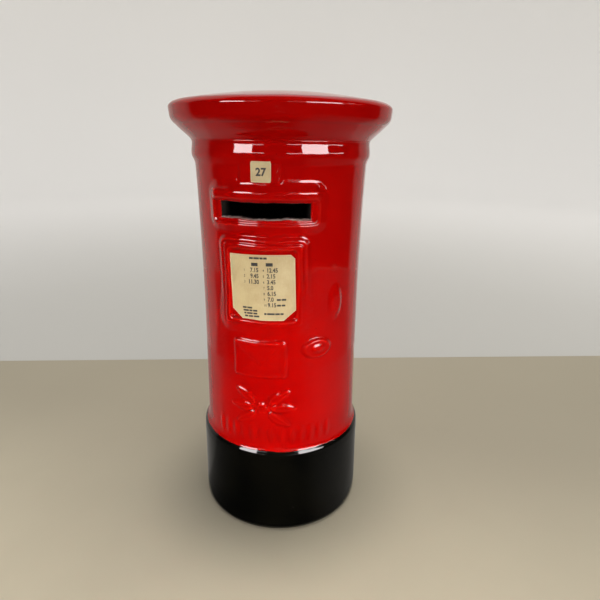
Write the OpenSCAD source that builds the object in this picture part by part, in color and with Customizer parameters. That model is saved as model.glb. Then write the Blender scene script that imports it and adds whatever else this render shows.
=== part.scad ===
// Pottery money box in the shape of a pillar post box.
// Origin at the centre of the foot ring's resting plane, +Z up, front towards -Y, millimetres.

/* [Pottery] */
// Thickness of the cast wall
wall = 4; // [3:0.5:5]
// Height of the whole money box
overall_h = 180.2; // [177:0.2:182]

/* [Barrel] */
// Radius of the barrel at its waist
waist_r = 33.5; // [32:0.1:33.8]
// Radius of the barrel where it meets the plinth
barrel_foot_r = 35.2; // [35:0.1:35.6]
// Radius of the barrel under the cap
barrel_top_r = 34.7; // [34.2:0.1:34.9]
// Height of the cap's underside above the table
cap_z = 162.2; // [161:0.2:163]
// How far the neck ring stands out
ring_proud = 1; // [0.8:0.1:1.4]
// Height of the neck ring
ring_h = 6.6; // [5:0.2:8]

/* [Cap] */
// Greatest radius of the cap
rim_r = 43.6; // [42:0.2:45]
// Radius of the rim's rounded edge
rim_round = 3.7; // [3.4:0.1:4]

/* [Plinth] */
// Greatest radius of the plinth
plinth_r = 36.5; // [36.2:0.1:37.2]
// Height of the plinth
plinth_h = 39.6; // [37:0.2:41]
// Height of the foot ring under the floor
foot_h = 4; // [3.5:0.1:5]
// Outer radius of the foot ring where it rests
foot_r = 35.3; // [34.8:0.1:35.5]
// Width of the foot ring where it rests
foot_w = 4; // [3:0.2:5]

/* [Stopper] */
// Radius of the hole in the floor
hole_r = 16.5; // [15.5:0.1:17]
// Gap between the stopper and the hole
stopper_gap = 0.07; // [0.02:0.01:0.1]
// Radius of the stopper's flange
flange_r = 20; // [18.5:0.5:22]
// Length of the stopper above its flange
shank_h = 9; // [8.5:0.5:12]

/* [Coin slot] */
// Width of the slot
slot_w = 33.6; // [29:0.2:35]
// Height of the slot
slot_h = 6; // [4.6:0.2:6.2]
// Height of the slot's middle above the table
slot_z = 138.5; // [137:0.1:140]
// Turn of the slot and its hood off the centre line
slot_turn = 1.4; // [0:0.1:2]

/* [Front relief] */
// Width of the slot hood
hood_w = 42.4; // [40:0.2:44]
// Height of the slot hood
hood_h = 16.8; // [15:0.2:18]
// How far the hood's bar stands out above the slot
hood_proud = 2.6; // [2:0.1:3]
// Width of the number tablet
tablet_w = 15.6; // [14:0.2:18]
// Outer width of the timetable frame
frame_w = 34.4; // [34:0.2:36]
// Outer height of the timetable frame
frame_h = 36.2; // [35:0.2:39]
// Width of the timetable frame's bar
frame_bar = 4.4; // [3:0.2:4.4]
// Height of the timetable frame's middle above the table
frame_z = 110.8; // [109:0.1:112]
// Width of the emblem
emblem_w = 22; // [20:0.5:24]
// Number of flutes in the band above the plinth
flutes = 13; // [9:1:15]

/* [Stickers] */
// Width of the timetable sticker
sheet_w = 24.8; // [22:0.2:25]
// Height of the timetable sticker
sheet_h = 25.4; // [24:0.2:26]
// Width of the number sticker
tag_w = 6.9; // [6:0.1:8]
// Height of the number sticker
tag_h = 7; // [5:0.1:7]
// Thickness of the sticker paper
paper = 0.25; // [0.2:0.05:0.4]

/* [Hidden] */
$fn = 96;

RED = "#a80808";
BLACK = "#141414";
CREAM = "#dcca98";
RUBBER = "#2c2c2a";

// Heights at which the barrel's outline turns
waist_low_z = 81;
waist_high_z = 116;
shoulder_z = 146;
shoulder_r = 34.1;
// The neck ring's radius and lower edge, and the hood's middle
ring_r = barrel_top_r + ring_proud;
ring_z = cap_z - ring_h;
hood_z = slot_z + 1.6;
// Inner radii and the floor's upper face
bore_r = waist_r - wall;
plinth_bore_r = plinth_r - wall;
floor_z = foot_h + wall;
// Where the ledge begins, and how far the base's wall leans in by then
ledge_z = plinth_h - 6;
ledge_lean = 0.35;
// How far cutters and radial prisms reach beyond the axis
reach = 60;
// Relief heights
low_relief = 0.7;
mid_relief = 1.3;
// Flange of the stopper: its underside stays clear of the table
flange_low_z = 1.2;
flange_high_z = foot_h - 0.05;

// Outer outline of the barrel as [radius, height], flaring out where it meets the base
barrel_line = [[barrel_foot_r, plinth_h], [34.5, plinth_h + 0.9], [34.1, plinth_h + 2.6],
               [waist_r, waist_low_z], [waist_r, waist_high_z],
               [shoulder_r, shoulder_z], [barrel_top_r, cap_z]];

// Points of an arc from angle a to angle b round a centre
function arc(c, r, a, b, steps = 5) =
    [for (i = [0:steps]) let (t = a + (b - a) * i / steps) c + r * [cos(t), sin(t)]];

// Outline of a rectangle with round corners, centred on the origin
function round_box(w, h, r) =
    let (x = w / 2 - r, y = h / 2 - r)
    concat(arc([x, y], r, 0, 90), arc([-x, y], r, 90, 180),
           arc([-x, -y], r, 180, 270), arc([x, -y], r, 270, 360));

// Outline of an oval, centred on the origin
function oval(w, h, steps = 24) =
    [for (i = [0:steps - 1]) let (t = 360 * i / steps) [w / 2 * cos(t), h / 2 * sin(t)]];

// Skin of even thickness round the barrel, standing off it by lift
module skin(thick, lift = 0) {
    inner = [for (p = barrel_line) p + [lift, 0]];
    outer = [for (i = [len(barrel_line) - 1:-1:0]) barrel_line[i] + [lift + thick, 0]];
    rotate_extrude() polygon(concat(inner, outer));
}

// A flat outline pressed out of the barrel towards the front, turned about the axis
module relief(turn, z, thick, lift = 0) {
    rotate([0, 0, turn]) intersection() {
        skin(thick, lift);
        translate([0, 0, z]) rotate([90, 0, 0]) linear_extrude(reach) children();
    }
}

// The hole that the coin slot cuts through the wall and the hood
module slot_cut() {
    rotate([0, 0, slot_turn]) translate([-slot_w / 2, -reach, slot_z - slot_h / 2])
        cube([slot_w, reach, slot_h]);
}

// ---- pottery sections ----

// A flare under a round rim, closed by a shallow dome, with the same wall all through
module cap() {
    rim_c = [rim_r - rim_round, cap_z + 10.3];
    rim_top_z = rim_c[1] + rim_round;
    flare = [[bore_r, cap_z], [ring_r + 0.1, cap_z], [37.8, cap_z + 2.4], [41.2, cap_z + 5.4]];
    dome = [[rim_c[0] * 0.7, overall_h - 2], [rim_c[0] * 0.4, overall_h - 0.7], [0, overall_h]];
    inside = [[0, overall_h - wall], [rim_c[0] - 5, rim_top_z - wall], [rim_c[0] - 2, rim_c[1] - 0.6]];
    color(RED) rotate_extrude()
        polygon(concat(flare, arc(rim_c, rim_round, -48, 90, 8), dome, inside));
}

// A soft-edged ring round the barrel's top
module neck_ring() {
    color(RED) difference() {
        rotate_extrude() polygon([[bore_r, ring_z], [shoulder_r, ring_z], [ring_r - 0.3, ring_z + 2],
                                  [ring_r, ring_z + 3], [ring_r, cap_z - 1], [ring_r - 0.2, cap_z],
                                  [bore_r, cap_z]]);
        barrel_solid();
    }
}

// The barrel with no bore and no slot
module barrel_solid() {
    rotate_extrude() polygon(concat([[0, plinth_h]], barrel_line, [[0, cap_z]]));
}

// The red tube, bored through, with the coin slot
module barrel() {
    color(RED) difference() {
        barrel_solid();
        translate([0, 0, plinth_h - 1]) cylinder(h = cap_z - plinth_h + 2, r = bore_r);
        slot_cut();
    }
}

// The black base's wall above its round heel, standing on the foot ring
module plinth() {
    heel = 2.2;
    color(BLACK) rotate_extrude() polygon(concat(
        [[foot_r - foot_w, 0], [foot_r, 0]],
        arc([plinth_r - heel, heel], heel, -50, 0, 4),
        [[plinth_r - 0.2, 14], [plinth_r - ledge_lean, ledge_z], [plinth_bore_r, ledge_z],
         [plinth_bore_r, floor_z + 3], [foot_r - foot_w, floor_z]]));
}

// The soft edge that closes the base in to the barrel's flared foot
module plinth_ledge() {
    edge_r = barrel_foot_r;
    color(BLACK) rotate_extrude() polygon([
        [plinth_bore_r, ledge_z], [plinth_r - ledge_lean, ledge_z],
        [edge_r + 0.85, plinth_h - 1.6], [edge_r + 0.7, plinth_h - 0.95],
        [edge_r + 0.35, plinth_h - 0.4], [edge_r, plinth_h],
        [bore_r, plinth_h], [bore_r, plinth_h - 2]]);
}

// The floor inside the foot ring, pierced for the stopper
module base_floor() {
    color(BLACK) translate([0, 0, foot_h]) difference() {
        cylinder(h = wall, r = foot_r - foot_w);
        translate([0, 0, -1]) cylinder(h = wall + 2, r = hole_r);
    }
}

// ---- reliefs ----

// A plate round the slot with a thicker bar along its top
module slot_hood() {
    bar_h = 6.2;
    color(RED) difference() {
        union() {
            relief(slot_turn, hood_z, mid_relief) polygon(round_box(hood_w, hood_h, 4));
            relief(slot_turn, hood_z + (hood_h - bar_h) / 2, hood_proud)
                polygon(round_box(hood_w - 3, bar_h, 2.6));
        }
        slot_cut();
    }
}

// A low panel between the hood and the neck ring
module number_tablet() {
    low_z = hood_z + hood_h / 2;
    color(RED) relief(0, (low_z + ring_z) / 2, low_relief)
        square([tablet_w, ring_z - low_z], center = true);
}

module timetable_frame() {
    color(RED) relief(0, frame_z, mid_relief) difference() {
        polygon(round_box(frame_w, frame_h, 4));
        polygon(round_box(frame_w - 2 * frame_bar, frame_h - 2 * frame_bar, 1.5));
    }
}

// Oval keyhole boss with a raised middle
module lock_boss() {
    turn = 37.3;
    z = 84.8;
    color(RED) {
        relief(turn, z, mid_relief) polygon(oval(13, 8.2));
        relief(turn, z, low_relief, mid_relief) polygon(oval(5.4, 3.6));
    }
}

// Upright oval boss on the door's edge
module door_boss() {
    turn = 51.4;
    z = 102.4;
    color(RED) relief(turn, z, mid_relief) polygon(oval(7.2, 13.2));
}

// A plain envelope, its flap lying proud of its back
module emblem() {
    turn = -2.6;
    z = 80.6;
    h = 16;
    flap = [[-emblem_w / 2 + 1, h / 2 - 1], [emblem_w / 2 - 1, h / 2 - 1], [0, -h / 8]];
    color(RED) {
        relief(turn, z, low_relief) polygon(round_box(emblem_w, h, 1.5));
        relief(turn, z, low_relief, low_relief) polygon(flap);
    }
}

// One leaf from its stalk end, pointing along +X
module leaf(length, width) {
    polygon([for (i = [0:11]) let (t = 360 * i / 12)
             [length / 2 * (1 + cos(t)), width / 2 * sin(t) * (1 - 0.3 * cos(t))]]);
}

// A small rosette between two sprigs of three leaves
module leaf_ornament() {
    turn = -1;
    z = 59.2;
    stalk = 3.6;
    color(RED) {
        relief(turn, z, low_relief) polygon(oval(5, 5));
        for (side = [0, 1], tilt = [-35, 0, 35])
            relief(turn, z, low_relief) mirror([side, 0]) rotate(tilt)
                translate([stalk, 0]) leaf(10, 3.8);
    }
}

// A row of upright flutes just above the plinth
module flute_band() {
    pitch = 6.85;
    centre = 5.8;
    color(RED) for (i = [0:flutes - 1])
        relief(centre + pitch * (i - (flutes - 1) / 2), 47.1, low_relief) polygon(oval(2.4, 7));
}

// ---- stickers and stopper ----

// Number sticker on its tablet
module number_label() {
    color(CREAM) relief(0.7, (hood_z + hood_h / 2 + ring_z) / 2, paper, low_relief)
        square([tag_w, tag_h], center = true);
}

// Timetable sticker with three corners cut off, just above the frame's lower bar
module timetable_label() {
    x = sheet_w / 2;
    y = sheet_h / 2;
    z = frame_z - frame_h / 2 + frame_bar + y + 0.2;
    color(CREAM) relief(0, z, paper) polygon([[-x, y], [x - 1.4, y], [x, y - 1.4],
        [x, -y + 4], [x - 4.6, -y], [-x + 4.6, -y], [-x, -y + 4]]);
}

module stopper() {
    r = hole_r - stopper_gap;
    top_z = foot_h + shank_h;
    skin_t = 2.6;
    color(RUBBER) rotate_extrude() polygon([[0, flange_low_z], [flange_r - 0.8, flange_low_z],
        [flange_r, flange_low_z + 0.8], [flange_r, flange_high_z - 0.4],
        [flange_r - 0.4, flange_high_z], [r, flange_high_z], [r, floor_z], [r - 0.6, floor_z + 1],
        [r - 0.6, top_z - 1.5], [r - 1.6, top_z], [r - skin_t, top_z],
        [r - skin_t, flange_high_z], [0, flange_high_z]]);
}

cap();
neck_ring();
barrel();
plinth_ledge();
plinth();
base_floor();
slot_hood();
number_tablet();
timetable_frame();
lock_boss();
door_boss();
emblem();
leaf_ornament();
flute_band();
number_label();
timetable_label();
stopper();
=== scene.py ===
import math

import bpy
import numpy as np
from mathutils import Matrix, Vector


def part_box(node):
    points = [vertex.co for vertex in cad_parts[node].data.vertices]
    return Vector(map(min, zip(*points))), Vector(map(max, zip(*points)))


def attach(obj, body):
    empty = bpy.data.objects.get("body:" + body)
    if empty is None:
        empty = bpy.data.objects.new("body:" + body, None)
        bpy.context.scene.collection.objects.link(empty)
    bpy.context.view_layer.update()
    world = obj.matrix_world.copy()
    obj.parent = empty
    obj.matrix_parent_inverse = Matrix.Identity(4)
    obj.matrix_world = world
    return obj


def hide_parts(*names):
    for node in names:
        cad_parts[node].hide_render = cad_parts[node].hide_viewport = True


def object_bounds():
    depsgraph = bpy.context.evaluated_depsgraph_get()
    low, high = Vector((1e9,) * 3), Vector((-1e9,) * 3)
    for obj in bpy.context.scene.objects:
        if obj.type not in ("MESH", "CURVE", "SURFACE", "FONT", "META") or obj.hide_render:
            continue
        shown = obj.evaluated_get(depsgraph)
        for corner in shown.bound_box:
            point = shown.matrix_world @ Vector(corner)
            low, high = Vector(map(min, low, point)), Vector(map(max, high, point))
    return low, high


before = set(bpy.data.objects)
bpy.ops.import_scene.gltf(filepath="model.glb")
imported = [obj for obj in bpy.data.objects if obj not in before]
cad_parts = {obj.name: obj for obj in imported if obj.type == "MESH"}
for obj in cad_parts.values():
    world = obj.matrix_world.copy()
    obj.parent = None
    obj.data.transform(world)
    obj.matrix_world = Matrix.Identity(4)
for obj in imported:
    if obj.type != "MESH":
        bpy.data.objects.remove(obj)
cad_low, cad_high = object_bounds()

# Looks of a pottery money box in the shape of a pillar post box.
# Shapes are worked out in millimetres and turned to metres when a mesh is made.
# Angles run round the axis from the front (-Y) towards +X.

MM = 0.001
scene = bpy.context.scene
scene.view_settings.view_transform = "Standard"


def low(node):
    """Lowest corner of a CAD node, in mm."""
    return np.array(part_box(node)[0]) / MM


def high(node):
    """Highest corner of a CAD node, in mm."""
    return np.array(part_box(node)[1]) / MM


def middle(node):
    """Middle angle and height of a CAD node, in radians and mm."""
    co = np.array([v.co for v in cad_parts[node].data.vertices]) / MM
    angle = np.arctan2(co[:, 0], -co[:, 1])
    return (angle.min() + angle.max()) / 2, (co[:, 2].min() + co[:, 2].max()) / 2


# ---- heights and radii taken from the CAD frame ----

TOP_Z = cad_high.z / MM
RIM_R = cad_high.x / MM
CAP_Z = low("cap")[2]
RING_Z = low("neck_ring")[2]
FOOT_Z = low("barrel")[2]
LEDGE_Z = low("plinth_ledge")[2]
PLINTH_R = high("plinth")[0]
WALL_TOP_R = PLINTH_R - 0.35
FLOOR_LOW_Z = low("base_floor")[2]
FLOOR_TOP_Z = high("base_floor")[2]
FLOOR_R = high("base_floor")[0]
FLANGE_R = high("stopper")[0]
FLANGE_LOW_Z = low("stopper")[2]
STOPPER_TOP_Z = high("stopper")[2]

BORE_R = 29.5  # inside of the barrel
PLINTH_BORE_R = 32.5
HOLE_R = 16.5  # the stopper's hole
SHANK_R = 16.43  # the stopper in it
WAIST_R = 33.43  # the barrel where it is narrowest
WAIST_Z = 97.6
FOOT_SWELL, FOOT_SPAN = 0.62, 58.5  # wider by this much, this far below the waist
NECK_SWELL, NECK_SPAN = 1.30, 64.6  # and this far above it

HOOD_W = 42.4
HOOD_H = 16.8
HOOD_RISE = 1.15
SLOT_W = 34.2
SLOT_H = 6.0
SLOT_Z = 138.5
SLOT_R = 35.3  # distance of its face from the axis
FRAME_W = 34.4
FRAME_H = 36.2
FRAME_BAR = 4.4
FRAME_RISE = 1.0
TABLET_W = 15.6
TABLET_RISE = 0.5
EMBLEM_W = 22.0
EMBLEM_H = 16.0
EMBLEM_RISE = 0.36
LEAF_LENGTH = 10.0
LEAF_WIDTH = 3.8
LEAF_STALK = 3.6
LEAF_RISE = 0.64
ROSETTE_R = 2.45
ROSETTE_RISE = 0.58
LOCK_W, LOCK_H, LOCK_RISE = 13.0, 8.2, 1.15
DOOR_W, DOOR_H, DOOR_RISE = 7.2, 13.2, 0.9
FLUTES = 13
FLUTE_PITCH = math.radians(6.85)
FLUTE_W, FLUTE_H, FLUTE_RISE = 2.7, 7.2, 0.48

HOOD_TURN, HOOD_MID_Z = middle("slot_hood")
TABLET_TURN, TABLET_MID_Z = middle("number_tablet")
FRAME_TURN, FRAME_MID_Z = middle("timetable_frame")
EMBLEM_TURN, EMBLEM_MID_Z = middle("emblem")
LEAF_TURN, LEAF_MID_Z = middle("leaf_ornament")
LOCK_TURN, LOCK_MID_Z = middle("lock_boss")
DOOR_TURN, DOOR_MID_Z = middle("door_boss")
FLUTE_TURN, FLUTE_MID_Z = middle("flute_band")
TAG_TURN, TAG_MID_Z = middle("number_label")
SHEET_TURN, SHEET_MID_Z = middle("timetable_label")

ARC_R = 34.0  # radius that distances round the barrel are measured at
ROUND = 384  # points round a turned piece
rng = np.random.default_rng(71)


# ---- the outer surface ----

def smooth_line(points, steps=16):
    """A curve through the points, as close samples."""
    p = np.array(points, float)
    p = np.vstack([2 * p[0] - p[1], p, 2 * p[-1] - p[-2]])
    t = np.linspace(0, 1, steps, endpoint=False)[:, None]
    out = []
    for i in range(1, len(p) - 2):
        a, b, c, d = p[i - 1], p[i], p[i + 1], p[i + 2]
        out.append(0.5 * (2 * b + (c - a) * t + (2 * a - 5 * b + 4 * c - d) * t**2
                          + (3 * b - a - 3 * c + d) * t**3))
    return np.vstack(out + [p[-2:-1]])


def arc(centre, radius, start, end, steps):
    """Points of an arc, angles in degrees."""
    t = np.radians(np.linspace(start, end, steps))
    return np.array(centre) + radius * np.stack([np.cos(t), np.sin(t)], 1)


def offset(points, first=0.0, second=0.0):
    """Points given from a place of their own, moved to it."""
    return np.array(points, float) + (first, second)


def turned(theta, turn):
    """Angle from turn, between half a turn back and half a turn on."""
    return (theta - turn + math.pi) % (2 * math.pi) - math.pi


def ease(t):
    """From 0 to 1 with a soft start and end."""
    t = np.clip(t, 0, 1)
    return t * t * (3 - 2 * t)


def rise(d, foot, brow):
    """From 0 to 1 as d, the distance inside an outline, goes from -foot to brow."""
    return ease((d + foot) / (foot + brow))


def ridge(d, width):
    """A soft ridge, 1 where d is 0."""
    return np.exp(-(d / width) ** 2)


def box_inside(x, z, w, h, r):
    """Distance inside a rectangle with round corners; negative outside."""
    qx = np.abs(x) - w / 2 + r
    qz = np.abs(z) - h / 2 + r
    outer = np.hypot(np.maximum(qx, 0), np.maximum(qz, 0))
    return r - outer - np.minimum(np.maximum(qx, qz), 0)


def oval_inside(x, z, w, h):
    """Distance inside an oval, roughly; negative outside."""
    return (1 - np.hypot(x / (w / 2), z / (h / 2))) * min(w, h) / 2


def leaf_inside(u, v, length, width):
    """Distance inside a leaf that starts at the origin and points along u."""
    c = np.clip(2 * u / length - 1, -1, 1)
    half = width / 2 * np.sqrt(1 - c * c) * (1 - 0.3 * c)
    return half - np.abs(v) - np.maximum(u - length, 0) - np.maximum(-u, 0)


def line_gap(x, z, a, b):
    """Distance from the line between points a and b."""
    dx, dz = b[0] - a[0], b[1] - a[1]
    t = np.clip(((x - a[0]) * dx + (z - a[1]) * dz) / (dx * dx + dz * dz), 0, 1)
    return np.hypot(x - a[0] - t * dx, z - a[1] - t * dz)


def both(a, b):
    """The greater of two reliefs, with a soft join."""
    return (np.maximum(a, 0) ** 5 + np.maximum(b, 0) ** 5) ** 0.2


RING_TOP = 0.84  # how far the ring stands out where the cap begins
# height and how far the surface stands out there
RING_EXTRA = smooth_line(offset(
    [(-3.4, 0), (-2.5, 0.05), (-1.8, 0.18), (-1.2, 0.42), (-0.5, 0.74), (0.2, 0.98), (1.1, 1.09),
     (2.3, 1.03), (3.6, 0.84), (4.6, 0.68), (5.6, 0.64), (CAP_Z - RING_Z, RING_TOP)], RING_Z))
FOOT_FLARE = smooth_line(offset(
    [(0, 1.00), (0.4, 0.72), (0.9, 0.47), (1.7, 0.24), (2.8, 0.08), (4.2, 0)], FOOT_Z))


def barrel_r(z):
    """Radius of the plain barrel: widest at its ends, with a little flare at its foot."""
    lower = FOOT_SWELL * ((WAIST_Z - z) / FOOT_SPAN) ** 2
    upper = NECK_SWELL * ((z - WAIST_Z) / NECK_SPAN) ** 2
    flare = np.interp(z, *FOOT_FLARE.T)
    return WAIST_R + np.where(z < WAIST_Z, lower, upper) + flare


def ring_extra(z):
    """How far the neck ring stands out from the barrel."""
    return np.interp(z, *RING_EXTRA.T, left=0)


def make_waves(count, turns, wave_low, wave_high, height):
    """Seeded waves: whole turns round the axis, length up it, phase and height."""
    n = rng.integers(turns[0], turns[1], count)
    k = 2 * math.pi / rng.uniform(wave_low, wave_high, count)
    k = k * rng.choice([-1, 1], count)
    phase = rng.uniform(0, 2 * math.pi, count)
    size = height * rng.uniform(0.6, 1.2, count)
    return list(zip(n, k, phase, size))


WAVES = (make_waves(6, (1, 6), 60, 150, 0.020)
         + make_waves(8, (5, 16), 18, 60, 0.007)
         + make_waves(10, (14, 40), 30, 90, 0.0022)
         + make_waves(10, (20, 60), 5, 14, 0.0012))


def ripple(theta, z):
    """The glaze's unevenness."""
    out = 0.0
    for n, k, phase, size in WAVES:
        out = out + size * np.sin(n * theta + k * z + phase)
    return out


def mould_seams(theta, z):
    """What is left of the two mould seams, one on each side."""
    out = 0.0
    for side in (-1, 1):
        gap = turned(theta, side * math.pi / 2) * ARC_R
        out = out + 0.05 * ridge(gap, 0.9) * (0.75 + 0.25 * np.sin(0.21 * z + side))
    return out


def chord(theta, turn):
    """Distance to the side of the middle of a relief; large at the back of the barrel."""
    far_off = 99.0
    d = turned(theta, turn)
    return np.where(np.abs(d) < 1.4, ARC_R * np.sin(d), far_off)


def hood_relief(theta, z):
    """A plate round the slot with a bulging bar above it and a lipped recess."""
    x = chord(theta, HOOD_TURN)
    v = z - HOOD_MID_Z + 0.16 * np.sin(0.33 * x + 1.0) + 0.08 * np.sin(0.9 * x + 2.0)
    plate = HOOD_RISE * rise(box_inside(x, v + 0.4, HOOD_W, HOOD_H, 4.0), 1.5, 2.3)
    brow = 0.08 * ridge(v - 7.1 - 0.0009 * x * x, 0.8) * rise(20.3 - np.abs(x), 0.5, 2.0)
    bar = HOOD_RISE * rise(box_inside(x, v - 4.2, HOOD_W - 3.4, 5.0, 2.3), 0.6, 2.2)
    slot_v = z - SLOT_Z
    recess = box_inside(x, slot_v + 0.35, SLOT_W + 3.3, SLOT_H + 2.7, 1.6)
    hollow = 0.45 * rise(recess, 0.35, 0.6)
    lip = 0.16 * ridge(recess + 0.45, 0.45)
    chin = 0.20 * ridge(v + 5.2, 1.5) * rise(19.0 - np.abs(x), 1.0, 4.0)
    plate_only = rise(box_inside(x, v, HOOD_W, HOOD_H, 4.0), -0.6, 1.6)
    return plate + bar + (brow + lip + chin - hollow) * plate_only


def tablet_relief(theta, z):
    """A low panel that runs up from the hood to the neck ring."""
    x = chord(theta, TABLET_TURN) + 0.10 * np.sin(0.9 * z)
    side = rise(TABLET_W / 2 - np.abs(x), 0.7, 1.0)
    return TABLET_RISE * side * rise(z - TABLET_MID_Z + 6.0, 0.6, 0.8)


def frame_relief(theta, z):
    """A two-step moulding round a sunk panel."""
    x = chord(theta, FRAME_TURN) + 0.10 * np.sin(0.21 * z + 0.4)
    v = z - FRAME_MID_Z + 0.13 * np.sin(0.30 * x + 0.6)
    outer = box_inside(x, v, FRAME_W, FRAME_H, 3.6)
    inner = box_inside(x, v, FRAME_W - 2 * FRAME_BAR, FRAME_H - 2 * FRAME_BAR, 1.4)
    soft = 1.4 * ease(-v / 12)
    inside = 1 - rise(inner, 0.6, 0.8)
    bar = FRAME_RISE * rise(outer, 1.0 + soft, 1.5 + soft) * inside
    groove = 0.30 * ridge(outer - 1.95, 0.6) * (0.2 + 0.8 * ease((v + 6) / 14))
    step = 0.20 * rise(outer, -2.0, 3.0) * inside
    return np.maximum(bar - groove + step, 0)


def emblem_relief(theta, z):
    """A plain envelope with its flap down."""
    x = chord(theta, EMBLEM_TURN) + 0.12 * np.sin(0.45 * z)
    v = z - EMBLEM_MID_Z + 0.10 * np.sin(0.4 * x + 2.0)
    plate = box_inside(x, v, EMBLEM_W, EMBLEM_H, 1.8)
    w, h = EMBLEM_W / 2 - 1.2, EMBLEM_H / 2 - 1.2
    tip = (0.0, -1.6)
    fold = np.minimum(line_gap(x, v, (-w, h), tip), line_gap(x, v, (w, h), tip))
    tuck = np.minimum(line_gap(x, v, (-w, -h), (-2.6, -0.3)), line_gap(x, v, (w, -h), (2.6, -0.3)))
    flap = (v - h - (h - tip[1]) * np.abs(x) / w + (h - tip[1])) * 0.75
    rim = ridge(plate - 1.1, 0.9)
    out = EMBLEM_RISE * rise(plate, 0.9, 1.2) + 0.18 * rim + 0.18 * rise(flap, 0.6, 1.2)
    out = out + 0.20 * ridge(fold, 0.8) + 0.10 * ridge(tuck, 0.8)
    return out * rise(plate, 0.6, 0.7)


def leaf_relief(theta, z):
    """A rosette between two sprigs of three leaves."""
    x = chord(theta, LEAF_TURN)
    v = z - LEAF_MID_Z
    far = np.hypot(x, v)
    turn = np.arctan2(v, x)
    rosette = ROSETTE_R + 0.28 * np.cos(6 * turn) - far
    out = ROSETTE_RISE * rise(rosette, 0.7, 1.0) - 0.22 * ridge(far, 0.9)
    out = np.maximum(out + 0.22 * ridge(far, 0.38), 0)
    for side in (-1, 1):
        for tilt in (-35, 0, 35):
            a = math.radians(tilt)
            u = side * x * math.cos(a) + v * math.sin(a) - LEAF_STALK
            w = -side * x * math.sin(a) + v * math.cos(a)
            w = w - 0.25 * math.copysign(1, tilt or side) * np.sin(u / LEAF_LENGTH * math.pi)
            inside = leaf_inside(u, w, LEAF_LENGTH, LEAF_WIDTH)
            leaf = LEAF_RISE * rise(inside, 0.8, 1.1)
            vein = 0.10 * ridge(w, 0.4) * rise(inside, -0.1, 0.9)
            out = np.maximum(out, leaf - vein)
    return out


def boss_relief(theta, z):
    """The keyhole boss with its raised middle and the upright boss on the door's edge."""
    x = chord(theta, LOCK_TURN)
    v = z - LOCK_MID_Z
    lock = LOCK_RISE * rise(oval_inside(x, v, LOCK_W, LOCK_H), 0.5, 1.1)
    lock = lock - 0.16 * rise(oval_inside(x, v, LOCK_W - 3.6, LOCK_H - 2.6), 0.5, 0.6)
    lock = lock + 0.55 * rise(oval_inside(x, v - 0.1, 5.8, 3.6), 0.4, 1.1)
    x = chord(theta, DOOR_TURN)
    v = z - DOOR_MID_Z
    door = DOOR_RISE * rise(oval_inside(x, v, DOOR_W, DOOR_H), 0.9, 2.0)
    door = door + 0.06 * rise(oval_inside(x, v, 3.4, 8.0), 0.3, 0.8)
    return np.maximum(lock, 0) + door


def flute_relief(theta, z):
    """A row of upright flutes, each a little different."""
    d = turned(theta, FLUTE_TURN)
    half = (FLUTES - 1) // 2
    number = np.clip(np.round(d / FLUTE_PITCH), -half, half)
    x = ARC_R * (d - number * FLUTE_PITCH) + 0.10 * np.sin(2.3 * number + 0.3 * z)
    v = z - FLUTE_MID_Z + 0.18 * np.sin(1.7 * number)
    size = FLUTE_RISE + 0.08 * np.sin(3.1 * number + 0.7)
    return size * rise(oval_inside(x, v, FLUTE_W, FLUTE_H), 0.7, 1.1)


def relief(theta, z):
    """Every relief on the barrel, above its plain surface."""
    top = both(hood_relief(theta, z), tablet_relief(theta, z))
    rest = frame_relief(theta, z) + emblem_relief(theta, z) + boss_relief(theta, z)
    return top + rest + leaf_relief(theta, z) + flute_relief(theta, z)


def plain(theta, z):
    """Radius of the barrel and neck ring with no relief."""
    return barrel_r(z) + ring_extra(z) + ripple(theta, z) + mould_seams(theta, z)


def outer(theta, z):
    """Radius of the outer surface with the reliefs."""
    body = barrel_r(z) + ripple(theta, z) + mould_seams(theta, z)
    return body + both(ring_extra(z), relief(theta, z))


def spot(theta, z, r):
    """Points in mm from angle, height and radius."""
    theta, z, r = np.broadcast_arrays(theta, z, r)
    return np.stack([r * np.sin(theta), -r * np.cos(theta), z], -1)


def unit(v):
    """Vectors made one long."""
    return v / np.maximum(np.linalg.norm(v, axis=-1, keepdims=True), 1e-12)


def normals_of(radius, theta, z, step=0.06):
    """Outward normals of a surface given as a radius function."""
    a = step / ARC_R
    along = spot(theta + a, z, radius(theta + a, z)) - spot(theta - a, z, radius(theta - a, z))
    up = spot(theta, z + step, radius(theta, z + step)) - spot(theta, z - step, radius(theta, z - step))
    return unit(np.cross(along, up))


def pooling(theta, z, step=0.7):
    """Positive in hollows, where glaze gathers; negative on edges, where it runs thin."""
    deep = 0.16
    a = step / ARC_R
    around = outer(theta + a, z) + outer(theta - a, z) + outer(theta, z + step) + outer(theta, z - step)
    return np.clip((around / 4 - outer(theta, z)) / deep, -1, 1)


# ---- meshes ----

def make_mesh(name, points, faces, normals=None, slots=None, values=None):
    """One smooth-shaded object from points in mm; values are point attributes."""
    points = np.asarray(points, float).reshape(-1, 3)
    mesh = bpy.data.meshes.new(name)
    mesh.from_pydata((points * MM).tolist(), [], faces)
    mesh.polygons.foreach_set("use_smooth", [True] * len(mesh.polygons))
    if slots is not None:
        mesh.polygons.foreach_set("material_index", slots)
    for key, data in (values or {}).items():
        attribute = mesh.attributes.new(key, "FLOAT", "POINT")
        attribute.data.foreach_set("value", np.asarray(data, np.float32).ravel())
    mesh.update()
    if normals is not None:
        mesh.normals_split_custom_set_from_vertices(np.asarray(normals).reshape(-1, 3).tolist())
    obj = bpy.data.objects.new(name, mesh)
    scene.collection.objects.link(obj)
    return obj


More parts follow.
